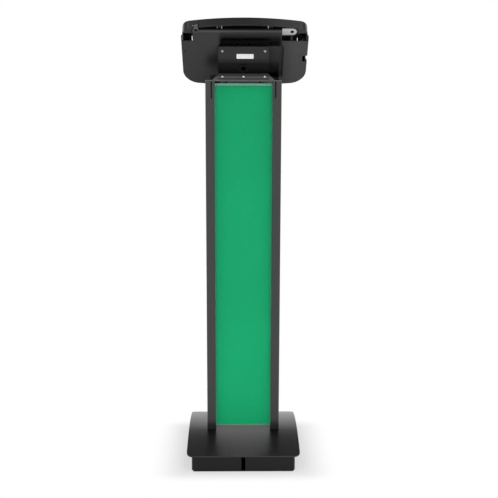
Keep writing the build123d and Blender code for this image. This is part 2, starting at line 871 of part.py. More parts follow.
def back_cover():
    cover = plan_prism(cover_plan(), 0, cover_thickness)
    wrap = frame_outline(cover_overlap) - frame_outline(cover_wrap_gap)
    wide = plate_width
    wrap -= Pos(0, cover_wrap_top + wide / 2) * Rectangle(2 * wide, wide)
    wrap -= Pos(0, cover_wrap_bottom - wide / 2) * Rectangle(2 * wide, wide)
    low = cover_wrap_bottom - overrun
    cover += plan_prism(wrap, 0, cover_wrap_height) - side_prism(
        [(cover_wrap_bottom + cover_wrap_taper, cover_wrap_height), (cover_wrap_bottom, cover_thickness),
         (low, cover_thickness), (low, cover_wrap_height)], wide)
    flange_end = boss_x - boss_notch_half
    cover += block((lock_opening_edge, flange_end), (cover_crown - cover_thickness, cover_crown),
                   (0, cover_crown_flange))
    bend = cover.edges().filter_by(Axis.X).filter_by(
        lambda edge: edge.center().Z < cover_thickness / 4 and edge.center().Y > cover_crown - bend_radius)
    cover = fillet(bend, bend_radius)
    half = catch_width / 2 + catch_clearance
    for x in catch_places():
        cover -= block((x - half, x + half), (cover_crown - 2 * cover_thickness, cover_crown + overrun),
                       (catch_level - catch_clearance, cover_crown_flange + overrun))
    cover += pocket(cover_thickness) & block(
        (pocket_right - overrun, pocket_left + overrun),
        (pocket_bottom - overrun, pocket_top + overrun), (0, 2 * pocket_depth))
    cover -= pocket()
    start = vent_centre_x - vent_pitch * (vent_count - 1) / 2
    for index in range(vent_count):
        slot = Rectangle(vent_width, vent_length)
        slot = chamfer(slot.vertices(), vent_corner)
        cover -= Pos(start + index * vent_pitch, vent_centre_y, 0) * plan_prism(
            slot, 0, pocket_depth + overrun)
    for place in mount_hole_places():
        cover -= place * bore(small_screw, 2 * pocket_depth)
    cover -= plan_prism(cable_hole(), 0, 2 * pocket_depth)
    cover -= Pos(frame_half_width - pin_hole_inset, pin_hole_y) * facet_bar(pin_hole_radius, -overrun, overrun)
    edge = frame_half_width + cover_overlap
    notch = Rectangle(2 * port_notch_depth, port_notch_length)
    notch = fillet(notch.vertices(), port_notch_depth / 4)
    cover -= Pos(-edge, port_notch_centre, 0) * plan_prism(notch, -overrun, cover_wrap_height + overrun)
    return cover


def anchor_boss():
    """Tube welded into the cover's notch, with the hole of the cable lock."""
    ring = many_sided(boss_radius) - Circle(boss_bore)
    return Pos(boss_x, boss_y) * plan_prism(ring, 0, boss_height)


def mount_plate():
    middle = (mount_plate_top + mount_plate_bottom) / 2
    plan = Pos(-head_x, middle) * cut_corners(
        mount_plate_width, mount_plate_top - mount_plate_bottom, mount_plate_corner)
    plate = plan_prism(plan - cable_hole(), mount_level, pocket_depth)
    for place in mount_hole_places():
        plate -= place * bore(small_screw, 2 * pocket_depth)
    return plate


def mount_screws():
    seat = pocket_depth + cover_thickness
    return [place * Pos(0, 0, seat) * screw(small_screw, mount_screw_length)
            for place in mount_hole_places()]


# Lock bar and catches

def catch_places():
    return [-catch_offset, catch_offset]


def lock_bar():
    """Bar with a full-height rounded end at the lock opening and notches for the frame's catches."""
    radius = (bar_top - bar_bottom) / 2
    middle = (bar_top + bar_bottom) / 2
    tip = Pos(bar_right + radius, middle) * Circle(radius)
    tip += Pos((bar_right + radius + bar_shoulder_x) / 2, middle) * Rectangle(
        bar_shoulder_x - bar_right - radius, 2 * radius)
    body = Pos((bar_right + radius + bar_left) / 2, (bar_bottom + bar_shoulder) / 2) * Rectangle(
        bar_left - bar_right - radius, bar_shoulder - bar_bottom)
    plan = tip + body
    plan -= Pos(bar_hole_x, middle) * Circle(bar_hole_radius)
    for x in catch_places():
        plan -= Pos(x, bar_shoulder) * Rectangle(bar_notch_width, 2 * (bar_shoulder - bar_notch_foot))
    return plan_prism(plan, bar_level, bar_level + bar_thickness)


def lock_guide(x):
    """Bridge on the back cover that the lock bar slides through, closed above by the crown."""
    across = (x - guide_width / 2, x + guide_width / 2)
    wide = (x - guide_width, x + guide_width)
    low = bar_bottom - fit_gap - guide_wall
    high = cover_crown - cover_thickness - seat_gap
    top = bar_level + bar_thickness + fit_gap
    guide = block(across, (low, high), (cover_thickness, top + guide_wall))
    guide -= block(wide, (bar_bottom - fit_gap, bar_top + fit_gap - guide_wall), (bar_level - fit_gap, top))
    guide -= block(wide, (bar_bottom + guide_foot, high - guide_foot), (0, bar_level - guide_wall))
    return guide - pocket(cover_thickness + fit_gap)


def frame_catch(x):
    """Hook under the bezel whose toe passes the bar's notch and locks under the bar."""
    across = (x - catch_width / 2, x + catch_width / 2)
    outer = catch_stem_inner + catch_thickness
    foot = block(across, (catch_stem_inner - catch_foot, outer), (bezel_level - catch_thickness, bezel_level))
    stem = block(across, (catch_stem_inner, outer), (catch_level, bezel_level))
    toe = block(across, (catch_reach, outer), (catch_level, catch_level + catch_thickness))
    return foot + stem + toe


# Tablet tray

def tablet_tray():
    middle = (tray_top + tray_bottom) / 2
    plan = Pos(0, middle) * cut_corners(2 * tray_half_width, tray_top - tray_bottom, tray_corner)
    for side, foot in ((1, tray_ear_foot_left), (-1, tray_ear_foot_right)):
        ear = Rectangle(tray_corner, tray_ear_top - foot)
        plan += Pos(side * (tray_ear_edge - tray_corner / 2), (tray_ear_top + foot) / 2) * ear
    for side in (-1, 1):
        plan -= Pos(side * tray_window_offset, 0) * cut_corners(
            tray_window_width, tray_window_height, tray_window_corner)
    slot_foot = catch_reach - 4 * catch_clearance
    for x in catch_places():
        plan -= Pos(x, tray_top) * Rectangle(catch_width + 2 * catch_clearance, 2 * (tray_top - slot_foot))
    tray = plan_prism(plan, tray_level, pad_level)
    for place in standoff_places():
        tray -= place * bore(small_screw, 2 * pad_level)
    return tray


def standoff_places():
    return [Pos(side * standoff_x, row, 0) for side in (-1, 1) for row in standoff_rows]


def tray_standoffs():
    post = plan_prism(RegularPolygon(standoff_radius, 6), cover_thickness, tray_level)
    post -= facet_bar(small_screw[2] + running_gap, tray_level - tray_screw_length - fit_gap, pad_level)
    return [place * post for place in standoff_places()]


def tray_screws():
    return [place * Pos(0, 0, pad_level) * screw(small_screw, tray_screw_length)
            for place in standoff_places()]


def tablet_pads():
    return [Pos(0, row) * plan_prism(Rectangle(pad_length, pad_width), pad_level, pad_level + pad_thickness)
            for row in pad_rows]


def bezel_gasket():
    ring = window_outline(gasket_width) - window_outline(fit_gap)
    ring = ring & frame_outline(-frame_wall - fit_gap)
    foot = catch_stem_inner - catch_foot - fit_gap
    for x in catch_places():
        ring -= Pos(x, frame_top) * Rectangle(catch_width + 2 * catch_clearance, 2 * (frame_top - foot))
    return plan_prism(ring, bezel_level - gasket_thickness, bezel_level)


# Hinges of the front frame

def hinge_round(x, length, radius):
    """Cylinder on the hinge axis."""
    return Pos(x, hinge_axis_y, hinge_axis_z) * Rot(0, 90, 0) * Cylinder(radius, length)


def knuckle(x, length):
    """Many-sided knuckle round the hinge axis."""
    bar = facet_bar(hinge_barrel_radius, -length / 2, length / 2, round_sides // 2)
    return Pos(x, hinge_axis_y, hinge_axis_z) * Rot(0, 90, 0) * bar


def pin_bore(x):
    """Many-sided hole for the pin, right through a hinge."""
    bar = plan_prism(many_sided(hinge_pin_radius + running_gap), -hinge_length, hinge_length)
    return Pos(x, hinge_axis_y, hinge_axis_z) * Rot(0, 90, 0) * bar


def fixed_leaf(x):
    """Leaf under the back cover, with the two outer knuckles."""
    half = hinge_length / 2
    inner = half * hinge_knuckle_share + fit_gap
    level = (-hinge_leaf_thickness - seat_gap / 2, -seat_gap / 2)
    edge = hinge_axis_y + hinge_barrel_radius
    leaf = block((x - half, x + half), (hinge_axis_y, edge + hinge_leaf_depth), level)
    leaf -= block((x - inner, x + inner), (hinge_axis_y - overrun, edge + fit_gap), (-overrun, overrun))
    for side in (-1, 1):
        leaf += knuckle(x + side * (inner + half) / 2, half - inner)
    return leaf - pin_bore(x)


def moving_leaf(x):
    """Leaf on the front frame's lower wall, with the middle knuckle."""
    half = hinge_length * hinge_knuckle_share / 2
    low = frame_bottom - seat_gap - hinge_leaf_thickness
    leaf = block((x - half, x + half), (low, low + 2 * hinge_leaf_thickness),
                 (cover_thickness + frame_rim_gap, hinge_axis_z + hinge_leaf_depth))
    leaf -= plan_prism(frame_outline(seat_gap), 0, frame_height)
    leaf += knuckle(x, 2 * half)
    return leaf - pin_bore(x)


# Write the nodes
save("base_plate", base_plate())
save("plinth", plinth())
save("ballast_plate", ballast_plate())
save("arch_ribs", [rib for rear in both_sides(arch_rib())
                   for rib in (rear, mirror(rear, about=Plane.XZ))])
save("base_feet", feet())
save("column_bolts", column_bolts())
for name, solid in zip(("upright_right", "upright_left"), both_sides(upright())):
    save(name, solid)
save("bottom_rail", bottom_rail())
for index, level in enumerate(spreader_heights):
    save(f"spreader_{index + 1}", spreader(level))
save("top_spreader", spreader(column_top - spreader_height - spreader_drop))
inner_panel = panel_face - panel_stack
board = board_thickness - seat_gap
save("rear_panel", panel(inner_panel, board, panel_top - board_drop))
save("rear_clear_cover", panel(panel_face - sheet_thickness, sheet_thickness, panel_top))
save("front_panel", panel(-inner_panel - board, board, panel_top - board_drop))
save("front_clear_cover", panel(-panel_face, sheet_thickness, panel_top))
save("top_plate", top_plate())
save("top_plate_screws", [place * flat_screw(medium_screw, top_bolt_length)
                          for place in top_bolt_places()])
save("column_cap", column_cap())
save("cap_nut_bar", nut_bar())
save("cap_screws", [place * screw(small_screw, cap_screw_length) for place in cap_screw_places()])
save("neck_bracket", neck_bracket())
save("neck_cheeks", both_sides(neck_cheek()))
save("neck_cover", neck_cover())
save("neck_screws", [place * screw(small_screw, neck_screw_length) for place in neck_screw_places()])
save("cable_grommet", cable_grommet())
save("neck_bolts", neck_bolts())
save("neck_nuts", neck_nuts())
head = head_frame()
save("mount_plate", head * mount_plate())
save("mount_screws", [head * piece for piece in mount_screws()])
save("back_cover", head * back_cover())
save("anchor_boss", head * anchor_boss())
save("front_frame", head * front_frame())
save("lock_bar", head * lock_bar())
save("lock_guides", [head * lock_guide(x) for x in guide_offsets])
save("frame_catches", [head * frame_catch(x) for x in catch_places()])
save("tablet_tray", head * tablet_tray())
save("tray_standoffs", [head * piece for piece in tray_standoffs()])
save("tray_screws", [head * piece for piece in tray_screws()])
save("tablet_pads", [head * piece for piece in tablet_pads()])
save("bezel_gasket", head * bezel_gasket())
hinge_places = (-hinge_offset, hinge_offset)
save("hinge_fixed_leaves", [head * fixed_leaf(x) for x in hinge_places])
save("hinge_moving_leaves", [head * moving_leaf(x) for x in hinge_places])
save("hinge_pins", [head * hinge_round(x, hinge_length, hinge_pin_radius) for x in hinge_places])
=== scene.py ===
# Tablet kiosk stand seen from behind: finishes, small fittings, studio and camera.
from math import cos, radians, sin

import bpy
from mathutils import Matrix, Vector


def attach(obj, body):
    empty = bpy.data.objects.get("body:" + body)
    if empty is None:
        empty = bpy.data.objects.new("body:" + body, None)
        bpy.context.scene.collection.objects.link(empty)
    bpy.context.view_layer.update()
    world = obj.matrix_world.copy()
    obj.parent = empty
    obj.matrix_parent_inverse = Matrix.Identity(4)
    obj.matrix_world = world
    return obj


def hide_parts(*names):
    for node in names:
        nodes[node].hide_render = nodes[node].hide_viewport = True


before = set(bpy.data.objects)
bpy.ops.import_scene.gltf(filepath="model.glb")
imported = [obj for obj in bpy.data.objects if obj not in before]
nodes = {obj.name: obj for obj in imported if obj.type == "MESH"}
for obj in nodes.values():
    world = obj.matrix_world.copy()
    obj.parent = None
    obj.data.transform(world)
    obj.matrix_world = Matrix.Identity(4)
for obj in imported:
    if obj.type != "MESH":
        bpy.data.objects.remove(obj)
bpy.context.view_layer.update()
scene = bpy.context.scene
for item in nodes.values():
    item.select_set(False)

# Camera, from the vanishing of the column and the ellipse of the base
eye = Vector((0.01545, 2.22794, 0.96310))
look_down = radians(10.8915)
look_aside = radians(-0.7696)
lean = radians(0.1437)
lens = 65.06
sensor = 36.0
far_clip = 100

# Floor: half sizes of the stand's partly painted shadow and of the painted black shade under the plinth,
# and their soft edges
floor_size = 16
shadow_half = (0.138, 0.146)
shadow_reach = (0.100, 0.060)
plinth_half = (0.122, 0.1385)
plinth_reach = (0.004, 0.004)
floor_white = (0.84, 0.84, 0.84, 1)
floor_roughness = 0.9
floor_specular = 0.1
contact_white = 0.52
# Painted reflection: the floor's glow in gloss, brighter towards -X, over this span of X
floor_reflection_across = (-0.6, 0.6)
floor_painted_reflection = (1.15, 0.78)

# Light from all round by its direction, whose X, Y and Z run from -1 to 1
sky_rear = 1.05
sky_front = (1.12, 0.27)
sky_front_rise = (0.31, 0.51)
sky_front_to_rear = (-0.3, 0.3)
sky_overhead = (0.20, 1.20)
sky_overhead_across = (0.10, 0.45)
sky_overhead_rise = (0.75, 0.93)

# Lamp over the stand
lamp_place = (-0.6, 0.9, 3.2)
lamp_target = (0, 0, 0.6)
lamp_size = (1.2, 1.2)
lamp_power = 8

# Colours
black = (0.0, 0.0, 0.0, 1)
backdrop_white = (1.0, 1.0, 1.0, 1)
powder_black = (0.0045, 0.0045, 0.0046, 1)
column_black = (0.065, 0.0655, 0.0650, 1)
# Back cover: a paler black than powder_black, a painted sheen under its painted light and shade
sheet_black = (0.062, 0.062, 0.062, 1)
# Paler black, painted light on the anchor boss, the top plate and the top spreader
boss_black = (0.085, 0.085, 0.085, 1)
# Neck cover: its black and the painted shade it darkens to lower down
cover_high = (0.029, 0.029, 0.029, 1)
cover_low_shade = (0.004, 0.004, 0.004, 1)
primer_grey = (0.030, 0.030, 0.032, 1)
rail_grey = (0.185, 0.195, 0.185, 1)
# Dust and painted light on upward faces: paler low down, darker higher up towards the head
dust_and_light_low = (0.140, 0.140, 0.140, 1)
dust_and_shade_high = (0.062, 0.062, 0.062, 1)
board_green = (0.0085, 0.400, 0.158, 1)
# Boards and bottom strip in gloss: a painted reflection in grey, with a painted glow
board_reflected_grey = (0.64, 0.65, 0.64, 1)
reflection_glow_grey = (0.45, 0.46, 0.45, 1)
# Painted highlight on the top edge of the clear covers
edge_highlight_green = (0.27, 0.74, 0.54, 1)
bright_plate = (0.80, 0.80, 0.79, 1)
dull_plate = (0.38, 0.38, 0.38, 1)
zinc = (0.62, 0.62, 0.61, 1)
rubber_black = (0.006, 0.006, 0.006, 1)
foam_black = (0.022, 0.022, 0.022, 1)
bare_white = (0.97, 0.97, 0.97, 1)

# Grain of the surfaces: the noise, its useful range, what it does to the finish, and its relief
full = (0.0, 1.0)
noise_range = (0.3, 0.7)
peel_noise = {"detail": 2.0}
peel_shade = (0.90, 1.12)
cloud_noise = {"scale": 14.0}
cloud_middle = 0.5
cloud_on_roughness = 2.0
cloud_on_colour = 3.0
line_stretch = (0.03, 1.0, 1.0)
line_shade = (0.88, 1.08)
stain_noise = {"scale": 60.0, "detail": 4.0, "roughness": 0.6}
stain_range = (0.30, 0.75)
stain_shade = (1.04, 0.86)
stain_roughness = (-0.06, 0.10)
pore_noise = {"detail": 4.0, "roughness": 0.65}
pore_shade = (0.7, 1.3)
pore_swing = 0.06
fibre_noise = {"scale": 700.0}
fibre_shade = (0.95, 1.03)
label_roughness = (0.38, 0.50)
powder_relief = 0.0004
metal_relief = 0.0002
pore_relief = 0.0006
paper_relief = {"strength": 0.05, "relief": 0.0002}
label_relief = {"strength": 0.05, "relief": 0.0001}
edge_round = 0.0007
edge_samples = 4

# Printed boards and their clear covers: ink, painted light by height and across, the painted look in
# gloss, and the covers' painted edge highlight
ink_noise = {"scale": 3.5, "detail": 2.0}
ink_range = (0.35, 0.65)
ink_shade = (0.96, 1.04)
tooth_noise = {"scale": 900.0, "detail": 2.0}
board_roughness = (0.50, 0.62)
board_specular = 0.05
board_heights = (0.07, 0.90)
board_light = (1.27, 1.0)
board_rim = (0.050, 0.070)
board_rim_light = (1.0, 1.14)
mirror_heights = (0.07, 0.20)
mirror_light = (1.28, 0.28)
rail_mirror_light = 1.5
haze_noise = {"scale": 25.0}
haze_roughness = (0.06, 0.12)
clear_index = 1.49
clear_heights = (0.9397, 0.9401)
clear_cover = (0.006, 0.55)

# Painted shade by height on the feet of the uprights and on the neck's cover, and dust with painted light
# by height and slope
foot_heights = (0.070, 0.094)
foot_dark = 0.30
cover_heights = (0.993, 1.010)
dust_and_shade_heights = (0.957, 0.965)
dust_and_light_facing = (0.3, 0.8)

# Painted light and shade on the back cover: across is X, rise is the way up its slope from the head's
# pivot
head_pivot = (-0.002, 1.0075)
cover_tilt = radians(45)
ledge_across = (-0.090, 0.058)
ledge_soft = 0.006
ledge_rise = (0.057, 0.084)
ledge_dark = 0.02
ledge_end = (0.024, 0.027)
neck_across = (-0.060, 0.060)
neck_soft = 0.004
neck_rise = (0.046, 0.053)
neck_light = 0.20
well_across = (-0.088, 0.057)
well_soft = 0.001
well_rise = (-0.045, -0.010)
well_dark = 0.18
well_foot = (-0.066, -0.060)
well_darkest = 0.15
lip_rise = (-0.0825, -0.0812)
lip_light = 2.0
round_shade_centre = (0.074, -0.012)
round_shade_radii = (0.024, 0.032)
round_shade_reach = (0.0, 1.3)
round_shade_dark = 0.42
corner_across = (0.050, 0.082)
corner_soft = 0.003
corner_rise = (-0.064, -0.057)
corner_dark = 0.20
lit_across = (-0.125, -0.088)
lit_light = 1.45
crown_rise = (0.078, 0.080)
crown_depth = (0.0005, 0.0060)
crown_light = (1.5, 0.15)

# Bare plate on the neck cover
plate_centre = (-0.0035, 0.0261, 1.0087)
plate_width = 0.0407
plate_height = 0.0110
plate_thickness = 0.0006
plate_corner = plate_height / 8
plate_corner_steps = 4

# Dome screws in the neck and the cap
screw_radius = 0.0036
screw_rim = 0.0006
screw_dome = 0.0018
screw_dome_shares = ((0.35, 0.93), (0.35, 0.80), (0.30, 0.62))
screw_sides = 32
shank_radius = 0.0019
shank_length = 0.0040
shank_chamfer = shank_radius / 4
socket_radius = 0.0013
socket_depth = 0.0009
socket_sides = 6
straight_up = 0.9
smooth_below = radians(35)
screw_offset = 0.051
neck_seat = (0.0260, 1.0209)
neck_tilt = radians(90)
cap_seat = (0.014887, 0.960817)
cap_tilt = radians(34.02)


# Nodes

def feed(tree, node, values):
    """Give inputs of a node, by name or number, plain values or the outputs of other nodes."""
    for label, value in values.items():
        if isinstance(value, bpy.types.NodeSocket):
            tree.links.new(value, node.inputs[label])
        else:
            node.inputs[label].default_value = value


def math_node(tree, operation, *values, clamp=False):
    node = tree.nodes.new("ShaderNodeMath")
    node.operation = operation
    node.use_clamp = clamp
    feed(tree, node, dict(enumerate(values)))
    return node.outputs[0]


def product(tree, *factors):
    result = factors[0]
    for factor in factors[1:]:
        result = math_node(tree, "MULTIPLY", result, factor)
    return result


def length(tree, across, along):
    """Length of a flat vector."""
    squares = [math_node(tree, "POWER", side, 2.0) for side in (across, along)]
    return math_node(tree, "SQRT", math_node(tree, "ADD", *squares))


def remap(tree, value, span, levels, smooth=False):
    """Value taken from one span to other levels, and held at its ends."""
    node = tree.nodes.new("ShaderNodeMapRange")
    if smooth:
        node.interpolation_type = "SMOOTHSTEP"
    feed(tree, node, {"Value": value, "From Min": span[0], "From Max": span[1],
                      "To Min": levels[0], "To Max": levels[1]})
    return node.outputs["Result"]


def band(tree, value, span, soft):
    """1 within a span, 0 outside, with soft ends."""
    low, high = span
    rise = remap(tree, value, (low - soft, low + soft), full, True)
    fall = remap(tree, value, (high - soft, high + soft), (1.0, 0.0), True)
    return product(tree, rise, fall)


def kept_light(tree, mask, level):
    """1 outside a mask, going to a level inside it."""
    return math_node(tree, "SUBTRACT", 1.0, product(tree, mask, math_node(tree, "SUBTRACT", 1.0, level)))


def noise_node(tree, place, scale, detail=3.0, roughness=0.5):
    node = tree.nodes.new("ShaderNodeTexNoise")
    feed(tree, node, {"Vector": place, "Scale": scale, "Detail": detail, "Roughness": roughness})
    return node.outputs["Fac"]


def tint_node(tree, factor, dark, light):
    """Blend of two colours."""
    node = tree.nodes.new("ShaderNodeMix")
    node.data_type = "RGBA"
    feed(tree, node, {0: factor, 6: dark, 7: light})
    return node.outputs[2]


def scaled(tree, colour, amount):
    """Colour of a node, or a plain one, times a number that changes over the surface."""
    node = tree.nodes.new("ShaderNodeVectorMath")
    node.operation = "SCALE"
    feed(tree, node, {0: colour[:3] if isinstance(colour, tuple) else colour, "Scale": amount})
    return node.outputs["Vector"]


def shades_of(colour, shares):
    return [tuple(channel * share for channel in colour[:3]) + (1,) for share in shares]


def coordinates(tree, space="Object"):
    return tree.nodes.new("ShaderNodeTexCoord").outputs[space]


def parts_of(tree, vector):
    """X, Y and Z of a place or a direction."""
    node = tree.nodes.new("ShaderNodeSeparateXYZ")
    feed(tree, node, {"Vector": vector})
    return [node.outputs[label] for label in "XYZ"]


def light_path(tree, kind):
    return tree.nodes.new("ShaderNodeLightPath").outputs[kind]


def blend_shaders(tree, factor, first, second):
    node = tree.nodes.new("ShaderNodeMixShader")
    feed(tree, node, {0: factor, 1: first, 2: second})
    return node.outputs["Shader"]


# Node groups

def new_group(name, inputs, outputs):
    """Shader node group with named sockets; returns it with its two end nodes."""
    group = bpy.data.node_groups.new(name, "ShaderNodeTree")
    for side, labels in (("INPUT", inputs), ("OUTPUT", outputs)):
        for label in labels:
            kind = "NodeSocketColor" if label == "Colour" else "NodeSocketFloat"
            group.interface.new_socket(name=label, in_out=side, socket_type=kind)
    return group, group.nodes.new("NodeGroupInput"), group.nodes.new("NodeGroupOutput")


def powder_group():
    """Fine orange-peel of powder coat with soft cloudy variation of colour and roughness."""
    group, start, end = new_group(
        "powder_coat", ("Colour", "Roughness", "Grain", "Cloud"), ("Colour", "Roughness", "Height"))
    place = coordinates(group)
    peel = noise_node(group, place, start.outputs["Grain"], **peel_noise)
    cloud = math_node(group, "SUBTRACT", noise_node(group, place, **cloud_noise), cloud_middle)
    swing = product(group, cloud, start.outputs["Cloud"])
    rough = math_node(group, "ADD", product(group, swing, cloud_on_roughness), start.outputs["Roughness"])
    speck = remap(group, peel, noise_range, peel_shade)
    shade = math_node(group, "ADD", speck, product(group, swing, cloud_on_colour))
    colour = scaled(group, start.outputs["Colour"], shade)
    feed(group, end, {"Colour": colour, "Roughness": rough, "Height": peel})
    return group


def drawn_group():
    """Hair lines along X with a little stain, for rolled and drawn metal."""
    group, start, end = new_group(
        "drawn_lines", ("Colour", "Roughness", "Lines"), ("Colour", "Roughness", "Height"))
    place = coordinates(group)
    stretch = group.nodes.new("ShaderNodeMapping")
    feed(group, stretch, {"Vector": place, "Scale": line_stretch})
    lines = noise_node(group, stretch.outputs["Vector"], start.outputs["Lines"])
    stain = noise_node(group, place, **stain_noise)
    rough = math_node(group, "ADD", remap(group, stain, noise_range, stain_roughness),
                      start.outputs["Roughness"])
    shade = product(group, remap(group, lines, noise_range, line_shade),
                    remap(group, stain, stain_range, stain_shade))
    colour = scaled(group, start.outputs["Colour"], shade)
    feed(group, end, {"Colour": colour, "Roughness": rough, "Height": lines})
    return group


groups = {"powder": powder_group(), "drawn": drawn_group()}


# Painted light and shade

def upright_shade(tree):
    """Painted shade: the feet of the uprights darker where they meet the base."""
    height = parts_of(tree, coordinates(tree))[2]
    return remap(tree, height, foot_heights, (foot_dark, 1.0), True)


def pocket_shade(tree):
    """Painted light and shade in and round the pocket of the sloping back cover."""
    x, y, z = parts_of(tree, coordinates(tree))
    back = math_node(tree, "SUBTRACT", y, head_pivot[0])
    lift = math_node(tree, "SUBTRACT", z, head_pivot[1])
    rise = product(tree, math_node(tree, "ADD", back, lift), sin(cover_tilt))
    depth = product(tree, math_node(tree, "SUBTRACT", lift, back), sin(cover_tilt))
    # Painted shade on the ledge and in the well of the pocket, with painted light behind the neck and on
    # the lip at its foot
    ledge = math_node(tree, "MAXIMUM", remap(tree, rise, ledge_rise, (ledge_dark, 1.0)),
                      remap(tree, rise, ledge_end, (1.0, 0.0)))
    neck = product(tree, band(tree, x, neck_across, neck_soft),
                   remap(tree, rise, neck_rise, (neck_light, 0.0)))
    ledge = math_node(tree, "MAXIMUM", ledge, neck)
    ledge = kept_light(tree, band(tree, x, ledge_across, ledge_soft), ledge)
    well = product(tree, remap(tree, rise, well_rise, (well_dark, 1.0), True),
                   remap(tree, rise, well_foot, (well_darkest, 1.0), True))
    well = math_node(tree, "MAXIMUM", well, remap(tree, rise, lip_rise, (lip_light, 0.0)))
    well = kept_light(tree, band(tree, x, well_across, well_soft), well)
    # Painted round shade beside the pocket, at +X
    round_shade = []
    for way, centre, radius in zip((x, rise), round_shade_centre, round_shade_radii):
        round_shade.append(math_node(tree, "DIVIDE", math_node(tree, "SUBTRACT", way, centre), radius))
    round_shade = remap(tree, length(tree, *round_shade), round_shade_reach, (round_shade_dark, 1.0), True)
    # Painted shade in the lower corner at +X, painted light on the side at -X, a painted highlight on the
    # fold's edge and painted shade behind it
    corner = kept_light(tree, band(tree, x, corner_across, corner_soft),
                        remap(tree, rise, corner_rise, (corner_dark, 1.0), True))
    lit = remap(tree, x, lit_across, (lit_light, 1.0), True)
    crown = kept_light(tree, remap(tree, rise, crown_rise, full),
                       remap(tree, depth, crown_depth, crown_light))
    return product(tree, ledge, well, round_shade, corner, lit, crown)


def dust_and_light(tree, shade):
    """Dust that is also painted light on the upward faces, thicker and paler lower down."""
    upward = parts_of(tree, tree.nodes.new("ShaderNodeNewGeometry").outputs["Normal"])[2]
    height = parts_of(tree, coordinates(tree))[2]
    dust_and_shade = tint_node(tree, remap(tree, height, dust_and_shade_heights, full, True), dust_and_light_low, dust_and_shade_high)
    return tint_node(tree, remap(tree, upward, dust_and_light_facing, full, True), shade, dust_and_shade)


# Materials

def blank_material(name):
    material = bpy.data.materials.new(name)
    material.use_nodes = True
    tree = material.node_tree
    tree.nodes.clear()
    shader = tree.nodes.new("ShaderNodeBsdfPrincipled")
    output = tree.nodes.new("ShaderNodeOutputMaterial")
    feed(tree, output, {"Surface": shader.outputs["BSDF"]})
    return material, tree, shader


def bump_into(tree, shader, height, strength, relief, edge=0.0):
    """Relief from a height, on edges that look rounded where a radius is given."""
    bump = tree.nodes.new("ShaderNodeBump")
    if edge:
        rounding = tree.nodes.new("ShaderNodeBevel")
        rounding.samples = edge_samples
        feed(tree, rounding, {"Radius": edge})
        feed(tree, bump, {"Normal": rounding.outputs["Normal"]})
    feed(tree, bump, {"Strength": strength, "Distance": relief, "Height": height})
    feed(tree, shader, {"Normal": bump.outputs["Normal"]})


def place_group(tree, kind, values):
    node = tree.nodes.new("ShaderNodeGroup")
    node.node_tree = groups[kind]
    feed(tree, node, values)
    return [node.outputs[label] for label in ("Colour", "Roughness", "Height")]


def powder_coat(name, colour, roughness, grain=1400.0, bump=0.12, cloud=0.06, specular=0.5,
                dust_and_top_light=False, painted_low_shade=None, fade=None, edge=edge_round):
    """Powder coat, with dust and painted light, painted shade lower down or painted light and shade where
    a piece has one.
    """
    material, tree, shader = blank_material(name)
    shade, rough, height = place_group(
        tree, "powder", {"Colour": colour, "Roughness": roughness, "Grain": grain, "Cloud": cloud})
    # Dust and painted light on the upward faces
    if dust_and_top_light:
        shade = dust_and_light(tree, shade)
    # Painted shade: darker lower down
    if painted_low_shade:
        heights, shade_colour = painted_low_shade
        up = remap(tree, parts_of(tree, coordinates(tree))[2], heights, full, True)
        shade = tint_node(tree, up, shade_colour, shade)
    if fade:
        shade = scaled(tree, shade, fade(tree))
    feed(tree, shader, {"Base Color": shade, "Roughness": rough, "Specular IOR Level": specular})
    bump_into(tree, shader, height, bump, powder_relief, edge)
    return material


def drawn_metal(name, colour, roughness, lines=900.0, bump=0.1):
    material, tree, shader = blank_material(name)
    shade, rough, height = place_group(
        tree, "drawn", {"Colour": colour, "Roughness": roughness, "Lines": lines})
    feed(tree, shader, {"Base Color": shade, "Roughness": rough, "Metallic": 1.0})
    bump_into(tree, shader, height, bump, metal_relief)
    return material


def printed_board():
    """Matt green print with a faint paper tooth and slow patches in the ink, painted lighter low down and
    at its sides, with a grey painted reflection and glow in the base's gloss.
    """
    material, tree, shader = blank_material("printed_board")
    place = coordinates(tree)
    x, _, z = parts_of(tree, place)
    patches = remap(tree, noise_node(tree, place, **ink_noise), ink_range, full, True)
    tooth = noise_node(tree, place, **tooth_noise)
    # Painted light: the print lighter low down and towards its sides
    light = product(tree, remap(tree, z, board_heights, board_light),
                    remap(tree, math_node(tree, "ABSOLUTE", x), board_rim, board_rim_light, True))
    ink_and_light = scaled(tree, tint_node(tree, patches, *shades_of(board_green, ink_shade)), light)
    # Painted reflection: in gloss the board shows grey and glows, brighter low down
    mirrored = light_path(tree, "Is Glossy Ray")
    glint = scaled(tree, reflection_glow_grey, remap(tree, z, mirror_heights, mirror_light))
    feed(tree, shader, {"Base Color": tint_node(tree, mirrored, ink_and_light, board_reflected_grey),
                        "Roughness": remap(tree, tooth, noise_range, board_roughness),
                        "Specular IOR Level": board_specular,
                        "Emission Color": tint_node(tree, mirrored, black, glint),
                        "Emission Strength": 1.0})
    bump_into(tree, shader, tooth, **paper_relief)
    return material


def bottom_strip():
    """Grey satin strip with a painted reflection: it glows grey in gloss, so it shows in the polished
    base.
    """
    material = powder_coat("rail_grey", rail_grey, roughness=0.45, grain=1600.0, bump=0.05, edge=0.0)
    tree = material.node_tree
    # Painted reflection: the strip glows grey in gloss
    glint = tint_node(tree, light_path(tree, "Is Glossy Ray"), black, reflection_glow_grey)
    feed(tree, tree.nodes["Principled BSDF"], {"Emission Color": glint,
                                               "Emission Strength": rail_mirror_light})
    return material


